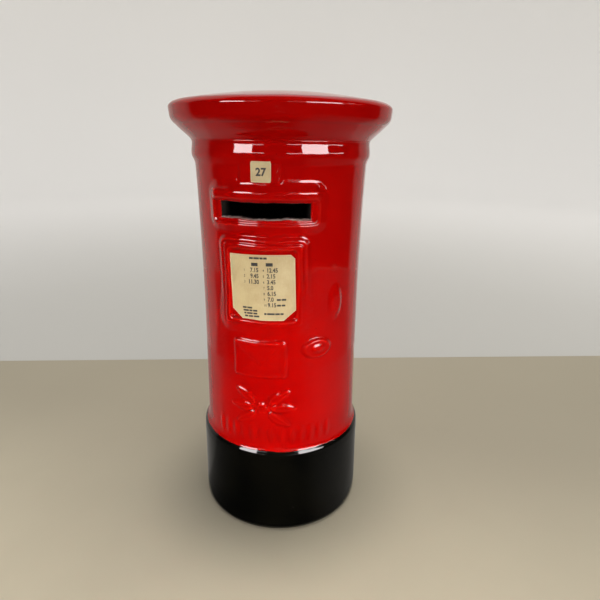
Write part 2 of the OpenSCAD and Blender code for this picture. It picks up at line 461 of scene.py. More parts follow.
def band_faces(rows, cols, ring=True, loop=False):
    """Quads between the rows of a grid; ring closes its rows, loop joins the last to the first."""
    faces = []
    for i in range(rows if loop else rows - 1):
        here, there = i * cols, (i + 1) % rows * cols
        for j in range(cols if ring else cols - 1):
            k = (j + 1) % cols
            faces.append([here + j, there + j, there + k, here + k])
    return faces


def shell(name, front, back, round_axis=False, cut=None, normals=None, values=None, back_slot=0):
    """A closed sheet between two grids of points, with the cells in cut left out."""
    rows, cols = front.shape[:2]
    cells = cols if round_axis else cols - 1
    here = np.ones((rows - 1, cells), bool)
    if cut is not None:
        here &= ~cut
    i, j = np.nonzero(here)
    k = (j + 1) % cols
    size = rows * cols
    f00, f01, f11, f10 = i * cols + j, i * cols + k, (i + 1) * cols + k, (i + 1) * cols + j
    quads = [np.stack([f00, f01, f11, f10], 1),
             np.stack([f00, f10, f11, f01], 1) + size]
    slots = [np.zeros(len(i), int), np.full(len(i), back_slot)]

    def wall(gone, a, b):
        """Walls where the neighbour is missing, from front edge a-b to the back."""
        a, b = a[gone], b[gone]
        quads.append(np.stack([b, a, a + size, b + size], 1))
        slots.append(np.full(len(a), back_slot))

    padded = np.zeros((rows + 1, cells + 2), bool)
    padded[1:-1, 1:-1] = here
    if round_axis:
        padded[1:-1, 0] = here[:, -1]
        padded[1:-1, -1] = here[:, 0]
    wall(~padded[i, j + 1], f00, f01)
    wall(~padded[i + 2, j + 1], f11, f10)
    wall(~padded[i + 1, j], f10, f00)
    wall(~padded[i + 1, j + 2], f01, f11)
    quads = np.vstack(quads)
    slots = np.concatenate(slots)
    used, faces = np.unique(quads, return_inverse=True)
    faces = faces.reshape(quads.shape)
    points = np.concatenate([front.reshape(-1, 3), back.reshape(-1, 3)])[used]
    given = None
    if normals is not None:
        given = np.concatenate([normals.reshape(-1, 3), np.zeros((size, 3))])[used]
    data = {key: np.concatenate([v.ravel(), np.zeros(size)])[used] for key, v in (values or {}).items()}
    return make_mesh(name, points, faces.tolist(), given, slots, data)


def lathe(name, line, cols=ROUND, shift=None, faired=None, slots=None, values=None):
    """A closed solid from a closed outline of (radius, height), turned about the axis.
    shift(theta, i) moves row i, as (outwards, upwards); rows in faired get exact normals."""
    line = np.asarray(line, float)
    theta = np.arange(cols) * 2 * math.pi / cols
    r = np.repeat(line[:, :1], cols, 1)
    z = np.repeat(line[:, 1:], cols, 1)
    if shift is not None:
        for i in range(len(line)):
            out, up = shift(theta, i)
            r[i] += out
            z[i] += up
    grid = spot(theta[None, :], z, r)
    pole = line[:, 0] < 1e-6
    count = np.where(pole, 1, cols)
    first = np.cumsum(count) - count
    index = first[:, None] + np.where(pole[:, None], 0, np.arange(cols))
    faces, face_slots = [], []
    for i, a in enumerate(index):
        n = (i + 1) % len(line)
        if pole[i] and pole[n]:
            continue
        corners = np.stack([a, np.roll(a, -1), np.roll(index[n], -1), index[n]], 1)
        faces.extend([list(dict.fromkeys(face)) for face in corners.tolist()])
        face_slots.extend([0 if slots is None else slots[i]] * cols)
    given = None
    if faired is not None:
        along = np.roll(grid, -1, 1) - np.roll(grid, 1, 1)
        up = np.gradient(grid[faired], axis=0)
        exact = np.zeros_like(grid)
        exact[faired] = unit(np.cross(along[faired], up))
        exact[pole] = 0
        given = np.vstack([row[:n] for row, n in zip(exact, count)])
    data = {key: np.repeat(v, count) for key, v in (values or {}).items()}
    points = np.vstack([row[:n] for row, n in zip(grid, count)])
    return make_mesh(name, points, faces, given, face_slots, data)


# ---- materials ----

class Nodes:
    """Short calls for building one node material; a value may be a number, a colour or a socket."""

    def __init__(self, name):
        self.material = bpy.data.materials.new(name)
        self.material.use_nodes = True
        self.tree = self.material.node_tree
        self.tree.nodes.clear()
        self.shader = self.add("ShaderNodeBsdfPrincipled")
        self.add("ShaderNodeOutputMaterial", {"Surface": self.shader.outputs[0]})
        self.place = self.add("ShaderNodeTexCoord").outputs["Object"]

    def put(self, socket, value):
        """A link where value is a socket; a colour is opaque."""
        if isinstance(value, bpy.types.NodeSocket):
            self.tree.links.new(value, socket)
        elif socket.type == "RGBA":
            socket.default_value = (*value, 1)
        else:
            socket.default_value = value

    def add(self, kind, inputs=None, **settings):
        node = self.tree.nodes.new(kind)
        for key, value in settings.items():
            setattr(node, key, value)
        for key, value in (inputs or {}).items():
            self.put(node.inputs[key], value)
        return node

    def set(self, **sockets):
        for key, value in sockets.items():
            self.put(self.shader.inputs[key.replace("_", " ")], value)

    def stretched(self, scale):
        return self.add("ShaderNodeMapping", {"Vector": self.place, "Scale": scale}).outputs[0]

    def noise(self, scale, detail=2.0, rough=0.5, vector=None):
        inputs = {"Vector": vector or self.place, "Scale": scale, "Detail": detail, "Roughness": rough}
        return self.add("ShaderNodeTexNoise", inputs).outputs["Fac"]

    def cells(self, scale):
        return self.add("ShaderNodeTexVoronoi", {"Vector": self.place, "Scale": scale}).outputs["Distance"]

    def remap(self, value, a, b, c, d):
        inputs = {"Value": value, "From Min": a, "From Max": b, "To Min": c, "To Max": d}
        return self.add("ShaderNodeMapRange", inputs, interpolation_type="SMOOTHSTEP").outputs["Result"]

    def math(self, kind, a, b):
        return self.add("ShaderNodeMath", {0: a, 1: b}, operation=kind).outputs[0]

    def times(self, a, b):
        return self.math("MULTIPLY", a, b)

    def mix(self, share, a, b):
        return self.add("ShaderNodeMix", {"Factor": share, 6: a, 7: b}, data_type="RGBA").outputs[2]

    def tint(self, base, value, a, b, most, color):
        """base turned towards color, up to the share most, as value goes from a to b."""
        return self.mix(self.remap(value, a, b, 0, most), base, color)

    def attribute(self, name):
        return self.add("ShaderNodeAttribute", attribute_name=name).outputs["Fac"]

    def along(self, axis):
        """The place along one axis, in metres."""
        return self.add("ShaderNodeSeparateXYZ", {0: self.place}).outputs[axis]

    def from_foot(self):
        """Distance from the middle of the money box's foot, in metres."""
        return self.add("ShaderNodeVectorMath", {0: self.place}, operation="LENGTH").outputs["Value"]

    def bump(self, height, distance, strength):
        inputs = {"Height": height, "Distance": distance, "Strength": strength}
        self.set(Normal=self.add("ShaderNodeBump", inputs).outputs[0])


def red_glaze():
    """Deep red gloss: darker where it pools, thinner and lighter on edges, faintly streaked."""
    m = Nodes("red_glaze")
    streaks = m.noise(1.0, 3.0, 0.55, m.stretched((150, 150, 22)))
    clouds = m.noise(38, 3.0)
    base = m.tint((0.305, 0.0008, 0.0005), clouds, 0.35, 0.65, 1, (0.340, 0.0014, 0.0008))
    base = m.tint(base, streaks, 0.45, 0.75, 0.4, (0.305, 0.0006, 0.0004))
    pool = m.attribute("pool")
    base = m.tint(base, pool, 0.05, 0.9, 0.30, (0.21, 0.0005, 0.0005))
    base = m.tint(base, pool, -0.15, -0.95, 0.35, (0.50, 0.008, 0.004))
    specks = m.remap(m.cells(420), 0.05, 0.09, 0.8, 0)
    rare = m.remap(m.noise(90, 1.0), 0.60, 0.66, 0, 1)
    base = m.mix(m.times(specks, rare), base, (0.12, 0.001, 0.001))
    smears = m.noise(55, 4.0, 0.6, m.stretched((1.4, 1.4, 0.6)))
    m.set(Base_Color=base, Roughness=m.remap(smears, 0.45, 0.75, 0.035, 0.075), IOR=1.5)
    peel = m.math("ADD", m.noise(260, 2.0), m.times(m.noise(900, 1.0), 0.12))
    m.bump(peel, 0.00005, 0.30)
    return m.material


def black_glaze():
    """Black gloss with faint brown thin spots, dust specks and scuffs above the heel."""
    m = Nodes("black_glaze")
    clouds = m.noise(45, 3.0)
    base = m.tint((0.0012, 0.0012, 0.0009), clouds, 0.4, 0.65, 1, (0.0024, 0.0022, 0.0015))
    pool = m.attribute("pool")
    base = m.tint(base, pool, -0.2, -1.0, 0.6, (0.022, 0.014, 0.010))
    near_heel = m.remap(m.along("Z"), 0.003, 0.013, 1, 0)
    scratch = m.noise(1.0, 5.0, 0.7, m.stretched((210, 210, 420)))
    marks = m.remap(scratch, 0.655, 0.70, 0, 1)
    patch = m.remap(m.noise(60, 2.0), 0.54, 0.62, 0, 1)
    scuffs = m.times(m.times(marks, patch), near_heel)
    dots = m.remap(m.cells(260), 0.04, 0.08, 1, 0)
    few = m.remap(m.noise(33, 1.0), 0.63, 0.68, 0, 0.7)
    scuffs = m.math("MAXIMUM", scuffs, m.times(dots, few))
    base = m.mix(m.times(scuffs, 0.55), base, (0.30, 0.30, 0.27))
    smears = m.remap(m.noise(70, 4.0, 0.6), 0.45, 0.75, 0.04, 0.10)
    m.set(Base_Color=base, Roughness=m.math("MAXIMUM", smears, m.times(scuffs, 0.5)), IOR=1.48)
    peel = m.math("ADD", m.noise(240, 2.0), m.times(scuffs, -1.5))
    m.bump(peel, 0.00005, 0.30)
    return m.material


def bare_clay():
    """Unglazed cut pottery: pale, rough, a little pink where glaze has bled in."""
    m = Nodes("bare_clay")
    grain = m.noise(1600, 4.0, 0.6)
    stain = m.noise(160, 3.0)
    base = m.tint((0.32, 0.22, 0.19), stain, 0.42, 0.62, 1, (0.25, 0.12, 0.105))
    base = m.mix(m.remap(grain, 0.35, 0.7, 0.45, 0), base, (0.13, 0.10, 0.09))
    m.set(Base_Color=base, Roughness=0.9, IOR=1.45)
    m.bump(grain, 0.0003, 0.8)
    return m.material


def foot_clay():
    """The unglazed ring that the box stands on, off-white and rubbed grey."""
    m = Nodes("foot_clay")
    grain = m.noise(1100, 4.0, 0.6)
    dirt = m.noise(120, 4.0, 0.65)
    base = m.tint((0.60, 0.54, 0.46), dirt, 0.42, 0.68, 1, (0.26, 0.23, 0.20))
    m.set(Base_Color=base, Roughness=m.remap(dirt, 0.4, 0.7, 0.85, 0.6), IOR=1.45)
    m.bump(grain, 0.0002, 0.6)
    return m.material


def dark_inside():
    """The inside of the casting: its pale clay painted near black as painted shade, with faint random
    mottling.
    """
    m = Nodes("dark_inside")
    drift = m.noise(90, 4.0, 0.6)
    # Painted shade: a near-black colour in place of the pale clay that lies in shade inside.
    base = m.tint((0.006, 0.005, 0.0045), drift, 0.35, 0.7, 1, (0.02, 0.015, 0.013))
    m.set(Base_Color=base, Roughness=m.remap(drift, 0.3, 0.7, 0.7, 0.9), IOR=1.45)
    m.set(Specular_IOR_Level=0.05)
    m.bump(m.noise(500, 3.0), 0.0002, 0.5)
    return m.material


def sticker_paper():
    """Aged cream paper: fibres, faint foxing, and lighter at its cut edges as a painted highlight where they
    lift.
    """
    m = Nodes("sticker_paper")
    fibre = m.noise(1.0, 4.0, 0.7, m.stretched((2600, 2600, 900)))
    cloud = m.noise(110, 4.0, 0.6)
    base = m.tint((0.448, 0.352, 0.179), cloud, 0.35, 0.68, 1, (0.385, 0.289, 0.136))
    base = m.tint(base, fibre, 0.4, 0.75, 0.25, (0.535, 0.445, 0.27))
    fox = m.times(m.remap(m.cells(330), 0.04, 0.16, 1, 0), m.remap(m.noise(70, 1.0), 0.55, 0.66, 0, 0.6))
    base = m.mix(fox, base, (0.32, 0.20, 0.07))
    # Painted highlight: the paper is lighter near its edges, where they lift and catch the light.
    edge = m.attribute("edge")
    base = m.tint(base, edge, 0.25, 1.0, 0.65, (0.65, 0.545, 0.325))
    m.set(Base_Color=base, Roughness=m.remap(cloud, 0.3, 0.7, 0.48, 0.62), IOR=1.45)
    m.bump(m.math("ADD", fibre, m.times(cloud, 2.0)), 0.00005, 0.35)
    return m.material


def black_ink():
    """Printer's ink, slightly worn so that the paper shows through."""
    m = Nodes("black_ink")
    worn = m.noise(2600, 3.0, 0.6)
    base = m.tint((0.018, 0.017, 0.016), worn, 0.52, 0.75, 0.55, (0.20, 0.16, 0.10))
    m.set(Base_Color=base, Roughness=m.remap(worn, 0.4, 0.7, 0.45, 0.65), IOR=1.45)
    m.bump(worn, 0.00001, 0.3)
    return m.material


def black_rubber():
    """Soft dark rubber with a dusty bloom and fine mould texture."""
    m = Nodes("black_rubber")
    bloom = m.noise(130, 4.0, 0.6)
    grain = m.noise(2400, 2.0)
    base = m.tint((0.021, 0.021, 0.020), bloom, 0.42, 0.7, 1, (0.060, 0.058, 0.054))
    specks = m.remap(m.cells(700), 0.03, 0.09, 0.5, 0)
    base = m.mix(m.times(specks, m.remap(bloom, 0.5, 0.6, 0, 1)), base, (0.20, 0.19, 0.17))
    m.set(Base_Color=base, Roughness=m.remap(bloom, 0.35, 0.7, 0.48, 0.72), IOR=1.48)
    m.bump(grain, 0.00008, 0.5)
    return m.material


RED = red_glaze()
BLACK = black_glaze()
CLAY = bare_clay()
FOOT = foot_clay()
INSIDE = dark_inside()
PAPER = sticker_paper()
INK = black_ink()
RUBBER = black_rubber()


def finish_piece(obj, node, slot, *materials, body="pottery"):
    """Materials, body and the CAD node, if any, that a piece stands for, which is hidden; slot is not used.
    """
    for material in materials:
        obj.data.materials.append(material)
    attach(obj, body)
    if node:
        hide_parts(node)


# ---- relief panels: each owns a patch of the barrel, where the barrel itself sinks ----

BORDER = {"tablet": 149.8, "hood": 130.6, "frame": 90.8, "emblem": 69.6, "leaf": 50.8}
# angle of the middle, half width round the barrel, lowest and highest z
PATCHES = {
    "number_tablet": (TABLET_TURN, 12.0, BORDER["tablet"], RING_Z),
    "slot_hood": (HOOD_TURN, 25.6, BORDER["hood"], BORDER["tablet"]),
    "timetable_frame": (FRAME_TURN, 21.0, BORDER["frame"], BORDER["hood"]),
    "emblem": (EMBLEM_TURN, 13.6, BORDER["emblem"], BORDER["frame"]),
    "leaf_ornament": (LEAF_TURN, 16.4, BORDER["leaf"], BORDER["emblem"]),
    "flute_band": (FLUTE_TURN, 27.5, 42.6, BORDER["leaf"]),
    "lock_boss": (LOCK_TURN, 9.0, LOCK_MID_Z - 6.2, LOCK_MID_Z + 6.2),
    "door_boss": (DOOR_TURN, 6.2, DOOR_MID_Z - 8.6, DOOR_MID_Z + 8.6),
}
PANEL_T = 0.9  # how far a panel's back lies under the barrel's plain surface
SKIRT = 1.3  # how far a panel reaches past its patch, under its neighbours
SINK = 0.055  # how steeply it goes down there


def patch_depth(theta, z, patch):
    """Distance inside a patch; negative outside it."""
    turn, half, z0, z1 = patch
    side = half - np.abs(turned(theta, turn)) * ARC_R
    return np.minimum(np.minimum(side, z - z0), z1 - z)


def patch_grid(patch, step):
    """Angles and heights that cover a patch and its skirt, with lines on its borders."""
    turn, half, z0, z1 = patch
    cols = np.linspace(-half, half, int(2 * half / step) + 1)
    rows = np.linspace(z0, z1, int((z1 - z0) / step) + 1)
    cols = np.concatenate([[-half - SKIRT], cols, [half + SKIRT]])
    rows = np.concatenate([[z0 - SKIRT], rows, [z1 + SKIRT]])
    return turn + cols / ARC_R, rows


def sunk(theta, z, r, patch):
    """The radius let down below its neighbours outside the patch."""
    return r - SINK * np.maximum(-patch_depth(theta, z, patch), 0)


def grid_normals(points):
    """Outward normals of a grid of points."""
    along = np.gradient(points, axis=1)
    up = np.gradient(points, axis=0)
    return unit(np.cross(along, up))


def relief_panel(name):
    """One relief, as a thin closed sheet that lies on the barrel."""
    patch = PATCHES[name]
    cols, rows = patch_grid(patch, 0.25)
    theta, z = np.meshgrid(cols, rows)
    r = outer(theta, z)
    front = spot(theta, z, sunk(theta, z, r, patch))
    back = spot(theta, z, barrel_r(z) - PANEL_T)
    obj = shell(name, front, back, normals=normals_of(outer, theta, z),
                values={"pool": pooling(theta, z)})
    finish_piece(obj, name, "red_glaze", RED)


def waver(x, seed):
    """A hand-cut edge's wandering, in mm."""
    r = np.random.default_rng(seed)
    out = 0.0
    for length, size in ((21, 0.16), (9, 0.09), (4.6, 0.07), (2.3, 0.045), (1.1, 0.03)):
        out = out + size * r.uniform(0.7, 1.2) * np.sin(2 * math.pi * x / length + r.uniform(0, 6.28))
    return out


LIP = 0.6  # radius of the glazed edge that rolls into the slot


def slot_edges(x):
    """Lower and upper edge of the slot as cut, at distance x to the side of its middle."""
    lower = SLOT_Z - SLOT_H / 2 + waver(x, 5)
    upper = SLOT_Z + SLOT_H / 2 + 0.5 * waver(x, 8)
    return lower, upper


def close_to(a, b, extra):
    """Extra grid lines at both sides of two edges."""
    steps = np.array([0.0, 0.07, 0.16, 0.28, 0.42, 0.6])
    return np.unique(np.round(np.concatenate([extra, a - steps, b + steps]), 4))


def slot_hood():
    """The hood's panel, pierced by the slot, whose edge rolls inwards."""
    name = "slot_hood"
    patch = PATCHES[name]
    cols, rows = patch_grid(patch, 0.26)
    side = math.asin(SLOT_W / 2 / SLOT_R) * ARC_R
    z0, z1 = SLOT_Z - SLOT_H / 2, SLOT_Z + SLOT_H / 2
    arcs = (cols - HOOD_TURN) * ARC_R
    clear = 0.7
    arcs = arcs[(np.abs(arcs + side) > clear) & (np.abs(arcs - side) > clear)]
    rows = rows[(np.abs(rows - z0) > clear) & (np.abs(rows - z1) > clear)]
    arcs = close_to(-side, side, arcs)
    rows = close_to(z0, z1, rows)
    a, z = np.meshgrid(arcs, rows)
    theta = HOOD_TURN + a / ARC_R
    gap = np.maximum(np.maximum(np.abs(a) - side, z0 - z), z - z1)
    lower, upper = slot_edges(a)
    reach = 2.4
    moved = z + (lower - z0) * ease(1 - np.abs(z - z0) / reach)
    moved = moved + (upper - z1) * ease(1 - np.abs(z - z1) / reach)
    r = outer(theta, moved)
    d = np.clip(gap, 0, LIP)
    r = r - (LIP - np.sqrt(LIP**2 - (LIP - d) ** 2)) - 1.5 * np.clip(-gap, 0, 1)
    full = spot(theta, moved, r)
    front = spot(theta, moved, sunk(theta, moved, r, patch))
    through = ease((3.0 - gap) / 0.6)
    back = spot(theta, moved, (barrel_r(moved) - PANEL_T) * (1 - through) + (BORE_R + 0.2) * through)
    mid_a = (a[:-1, :-1] + a[1:, 1:]) / 2
    mid_z = (z[:-1, :-1] + z[1:, 1:]) / 2
    cut = (np.abs(mid_a) < side) & (mid_z > z0) & (mid_z < z1)
    obj = shell(name, front, back, cut=cut, normals=grid_normals(full), back_slot=1,
                values={"pool": pooling(theta, moved)})
    finish_piece(obj, name, "red_glaze", RED, INSIDE)


BARE_ROWS = range(2, 11)  # rows of the cut's section that are rough
CLAY_ROWS = range(1, 6)  # and those whose clay light reaches


def slot_cut_edge():
    """The rough clay that the slot's cut leaves bare, all through the wall; only the part that light reaches
    shows the clay colour, the rest is painted shade.
    """
    half_h = SLOT_H / 2
    corner = 0.7
    count = 300
    w = SLOT_W / 2
    outline = []
    for number, (right, up) in enumerate(((1, 1), (-1, 1), (-1, -1), (1, -1))):
        centre = (right * (w - corner), up * (half_h - corner))
        outline.extend(arc(centre, corner, 90 * number, 90 * number + 90, 8))
    outline = np.array(outline + outline[:1])
    lengths = np.concatenate([[0], np.cumsum(np.hypot(*np.diff(outline, axis=0).T))])
    s = np.linspace(0, lengths[-1], count, endpoint=False)
    x = np.interp(s, lengths, outline[:, 0])
    z = np.interp(s, lengths, outline[:, 1])
    nx = np.gradient(z)
    nz = -np.gradient(x)
    length = np.hypot(nx, nz)
    nx, nz = nx / length, nz / length
    lower, upper = slot_edges(x)
    share = (z + half_h) / SLOT_H
    z = SLOT_Z + z + (lower - SLOT_Z + half_h) * (1 - share) + (upper - SLOT_Z - half_h) * share
    # how deep into the wall, as a share, and how far into the slot's opening, in mm
    section = [(0.155, -0.9), (0.105, -0.35), (0.085, -0.05), (0.10, 0.10), (0.16, 0.17), (0.26, 0.20),
               (0.38, 0.22), (0.52, 0.22), (0.66, 0.20), (0.80, 0.16), (0.93, 0.05), (0.99, -0.2),
               (0.99, -0.9), (0.6, -1.0), (0.35, -1.0)]
    noise = np.random.default_rng(19)
    below = np.clip(-nz, 0, 1)
    points = []
    for number, (deep, into) in enumerate(section):
        bare = number in BARE_ROWS
        rough = np.zeros(count)
        if bare:
            rough = 0.05 * noise.standard_normal(count)
            rough = (np.roll(rough, 1) + rough + np.roll(rough, -1)) * 0.5
            for wave, size in ((9, 0.05), (23, 0.05), (47, 0.04)):
                phase = noise.uniform(0, 2 * math.pi)
                rough = rough + size * np.sin(2 * math.pi * wave * s / lengths[-1] + phase)
        px = x - nx * (into + rough)
        pz = z - nz * (into + rough)
        if bare:
            pz = pz + below * 0.15 * min(deep / 0.45, 1)
        base = outer(HOOD_TURN + np.arcsin(px / SLOT_R), pz)
        r = base * (1 - deep) + (BORE_R + 0.1) * deep
        points.append(spot(HOOD_TURN + np.arcsin(px / r), pz, r))
    grid = np.stack(points)
    rows, cols = grid.shape[:2]
    # Painted shade: only the lower face's outer rows get the clay colour; the rest of the cut gets the
    # near-black inside material.
    slots = [0 if below[j] > 0.6 and i in CLAY_ROWS else 1 for i in range(rows) for j in range(cols)]
    obj = make_mesh("slot_cut_edge", grid, band_faces(rows, cols, loop=True), slots=slots)
    finish_piece(obj, None, "red_glaze", CLAY, INSIDE)


def barrel():
    """The red tube. It sinks where the relief panels lie, and is open behind the slot."""
    cove_top = FOOT_Z + 4.6
    rows = np.concatenate([np.linspace(FOOT_Z, cove_top, 24)[:-1], np.linspace(cove_top, RING_Z, 98)])
    spare = 2.6
    hole_side = math.asin(SLOT_W / 2 / SLOT_R) * ARC_R + spare
    theta, z = np.meshgrid(np.arange(ROUND) * 2 * math.pi / ROUND, rows)
    r = plain(theta, z)
    depth = np.max([patch_depth(theta, z, p) for p in PATCHES.values()], 0)
    slope, deepest = 0.075, 0.6
    front = spot(theta, z, r - np.clip(depth * slope, 0, deepest))
    back = spot(theta, z, np.full_like(z, BORE_R))
    mid_t = theta[:-1] + math.pi / ROUND
    mid_z = (z[:-1] + z[1:]) / 2
    side = turned(mid_t, HOOD_TURN) * ARC_R
    cut = (np.abs(side) < hole_side) & (np.abs(mid_z - SLOT_Z) < SLOT_H / 2 + spare)
    obj = shell("barrel", front, back, True, cut, normals_of(plain, theta, z), back_slot=1,
                values={"pool": 0 * z})
    finish_piece(obj, "barrel", "red_glaze", RED, INSIDE)


def neck_ring():
    """The soft ring under the cap, with the groove that parts them."""
    rows = np.linspace(RING_Z, CAP_Z, 31)
    theta, z = np.meshgrid(np.arange(ROUND) * 2 * math.pi / ROUND, rows)
    front = spot(theta, z, outer(theta, z))
    back = spot(theta, z, np.full_like(z, BORE_R))
    obj = shell("neck_ring", front, back, True, None, normals_of(outer, theta, z), back_slot=1,
                values={"pool": pooling(theta, z)})
    finish_piece(obj, "neck_ring", "red_glaze", RED, INSIDE)


def cap():
    """A flare with a soft step, a round rim and a shallow dome, hollow inside."""
    widest_r, widest_z = RIM_R - 0.08, CAP_Z + 11.5
    start = barrel_r(np.array(CAP_Z)) + RING_TOP
    flare = smooth_line(offset([(start, 0), (start + 0.22, 0.4), (36.75, 1.4), (38.0, 2.5), (39.25, 3.6),
                                (40.45, 4.75), (41.25, 5.55)], 0, CAP_Z), 5)
    face = smooth_line(offset([(41.75, 5.95), (42.45, 6.75), (42.95, 7.6), (43.22, 8.6), (43.34, 9.7),
                               (widest_r - 0.06, 10.7)], 0, CAP_Z), 5)
    brim_w, brim_h = 6.0, 2.82
    t = np.radians(np.linspace(0, 68, 24))
    brim = np.stack([widest_r - brim_w * (1 - np.cos(t)), widest_z + brim_h * np.sin(t)], 1)
    rim = np.vstack([face, brim])
    edge_r, edge_z = rim[-1]
    dome_r = np.linspace(edge_r, 0, 44)[1:]
    dome_top = TOP_Z - 0.05
    dome = np.stack([dome_r, dome_top - (dome_top - edge_z) * (dome_r / edge_r) ** 2], 1)
    inside = [(0, TOP_Z - 4), (34.9, CAP_Z + 10.0), (37.6, CAP_Z + 9.3), (BORE_R, CAP_Z)]
    line = np.vstack([flare, rim, dome, inside])
    seen = len(flare) + len(rim) + len(dome)
    out = np.zeros((len(line), 2))
    along = np.gradient(line[:seen], axis=0)
    out[:seen] = unit(np.stack([along[:, 1], -along[:, 0]], 1))
    fade = np.ones(len(line))
    fade[seen - len(dome):seen] = np.clip(dome[:, 0] / 30, 0, 1)
    fade[seen:] = 0

    def shift(theta, i):
        z = line[i, 1] + (RIM_R - line[i, 0]) * (0.6 if i >= len(flare) + len(rim) else 0)
        if i == 0:
            return ripple(theta, line[i, 1]), 0.0
        size = fade[i] * (ripple(theta, z) - 0.055)
        return size * out[i, 0], size * out[i, 1]

    row = np.arange(len(line))
    pool = 0.9 * ridge(row - len(flare) + 0.5, 2.2) + 0.8 * ridge(row, 3.0)
    slots = np.where(row < seen - 1, 0, 1)
    obj = lathe("cap", line, shift=shift, faired=slice(0, seen), slots=slots, values={"pool": pool})
    finish_piece(obj, "cap", "red_glaze", RED, INSIDE)


def glaze_line(theta):
    """How far the black glaze's upper edge wanders, in mm."""
    return (0.10 * np.sin(3 * theta + 0.4) + 0.07 * np.sin(8 * theta + 2.1)
            + 0.05 * np.sin(17 * theta + 1.0) + 0.03 * np.sin(41 * theta + 4.0))


def plinth_ledge():
    """The black base's soft upper edge, its glaze meeting the red barrel's flared foot."""
    skin = float(barrel_r(np.array(FOOT_Z)))
    shoulder = offset([(0.97, -2.7), (0.90, -1.8), (0.76, -1.22), (0.51, -0.78), (0.25, -0.38),
                       (0.03, -0.06)], skin, FOOT_Z)
    foot = [(WALL_TOP_R, LEDGE_Z), (WALL_TOP_R - 0.02, FOOT_Z - 4.2)]
    wall = smooth_line(np.vstack([foot, shoulder]), 7)
    lip = offset([(-0.06, 0.05), (-0.30, 0.08)], skin, FOOT_Z)
    inside = [(skin - 1.2, FOOT_Z - 0.1), (BORE_R, FOOT_Z - 0.1), (BORE_R, FOOT_Z - 2),
              (PLINTH_BORE_R, LEDGE_Z)]
    line = np.vstack([wall, lip, inside])
    seen = len(line) - len(inside)
    flat = len(wall) - 12

    def shift(theta, i):
        if i >= seen:
            return 0.0, 0.0
        share = np.clip((i - flat) / (seen - flat - 1), 0, 1)
        return ripple(theta, line[i, 1]), share**2 * glaze_line(theta)

    pool = np.zeros(len(line))
    pool[flat:len(wall)] = -0.4
    slots = np.where(np.arange(len(line)) < seen, 0, 1)
    obj = lathe("plinth_ledge", line, shift=shift, faired=slice(0, seen - 2), slots=slots,
                values={"pool": pool})
    finish_piece(obj, "plinth_ledge", "black_glaze", BLACK, INSIDE)


def plinth():
    """The black base's wall, rounded in at the heel to an unglazed foot ring."""
    heel, foot_r = 2.2, 35.3
    foot = np.array([(FLOOR_R, 0.5), (FLOOR_R + 0.15, 0.12), (FLOOR_R + 0.5, 0.0), (foot_r - 1.2, 0.0),
                     (foot_r - 0.5, 0.10), (foot_r - 0.2, 0.22)])
    heel_arc = arc((PLINTH_R - heel, heel + 0.1), heel, -40, 0, 14)
    wall = smooth_line([heel_arc[-1], (PLINTH_R - 0.14, 10), (PLINTH_R - 0.24, 20),
                        (PLINTH_R - 0.30, 27), (WALL_TOP_R, LEDGE_Z)], 16)[1:]
    inside = [(PLINTH_BORE_R, LEDGE_Z), (PLINTH_BORE_R, FLOOR_TOP_Z + 3), (FLOOR_R, FLOOR_TOP_Z)]
    line = np.vstack([foot, heel_arc, wall, inside])
    seen = len(line) - len(inside)
    first = len(foot)

    def shift(theta, i):
        if i < 4 or i >= seen:
            return 0.0, 0.0
        share = min((i - 3) / 4, 1)
        return share * (ripple(theta, line[i, 1]) - 0.045), 0.0

    slots = [2 if i < first - 1 else 0 if i < seen - 1 else 1 for i in range(len(line))]
    pool = np.zeros(len(line))
    pool[first - 1:first + 5] = -0.6
    obj = lathe("plinth", line, shift=shift, faired=slice(first, seen), slots=slots, values={"pool": pool})
    finish_piece(obj, "plinth", "black_glaze", BLACK, INSIDE, FOOT)


def base_floor():
    """The floor inside the foot ring, with a round-edged hole for the stopper."""
    low_edge = arc((HOLE_R + 0.55, FLOOR_LOW_Z + 0.55), 0.55, 180, 270, 6)
    corner = arc((FLOOR_R - 0.9, FLOOR_LOW_Z - 0.9), 0.9, 90, 0, 7)
    under = np.linspace(low_edge[-1], corner[0], 30)[1:-1]
    line = np.vstack([low_edge, under, corner, [(FLOOR_R, FLOOR_TOP_Z)],
                      arc((HOLE_R + 0.5, FLOOR_TOP_Z - 0.5), 0.5, 90, 180, 5)])
    flat = len(low_edge) + len(under)

    def shift(theta, i):
        if len(low_edge) <= i < flat:
            r = line[i, 0]
            wave = 0.05 * np.sin(0.7 * r + 2 * theta) + 0.04 * np.sin(5 * theta + 0.5 * r)
            return 0.0, wave - 0.06
        return 0.0, 0.0

    slots = [0 if i < flat + len(corner) - 1 else 1 for i in range(len(line))]
    obj = lathe("base_floor", line, cols=192, shift=shift, slots=slots)
    finish_piece(obj, "base_floor", "black_glaze", BLACK, INSIDE)


# ---- stickers ----

TAG_W = 6.9
TAG_H = 7.0
SHEET_W = 24.8
SHEET_H = 25.4
PAPER_T = 0.16


def sheet_half_widths(v):
    """Left and right half width of the timetable at distance v below its top edge."""
    top_cut, low_cut, low_h = 1.4, 4.6, 4.0
    low_share = np.clip((v - SHEET_H + low_h) / low_h, 0, 1)
    left = SHEET_W / 2 - low_cut * low_share
    right = np.minimum(SHEET_W / 2 - np.clip(top_cut - v, 0, top_cut), SHEET_W / 2 - low_cut * low_share)
    return left, right


def tag_half_widths(v):
    """The same for the number sticker, whose corners are a little worn."""
    cut = 0.25 * ridge(v, 0.35) + 0.2 * ridge(v - TAG_H, 0.3)
    return TAG_W / 2 - cut, TAG_W / 2 - cut


def under_tag(theta, z):
    """The tablet that the number sticker lies on, without the hood's edge."""
    return barrel_r(z) + ripple(theta, z) + both(ring_extra(z) * 0.8, 0.6)


def under_sheet(theta, z):
    """The panel that the timetable lies on, rising a little onto the frame's bars."""
    return barrel_r(z) + ripple(theta, z) + 0.4 * np.clip(frame_relief(theta, z), 0, 0.5)


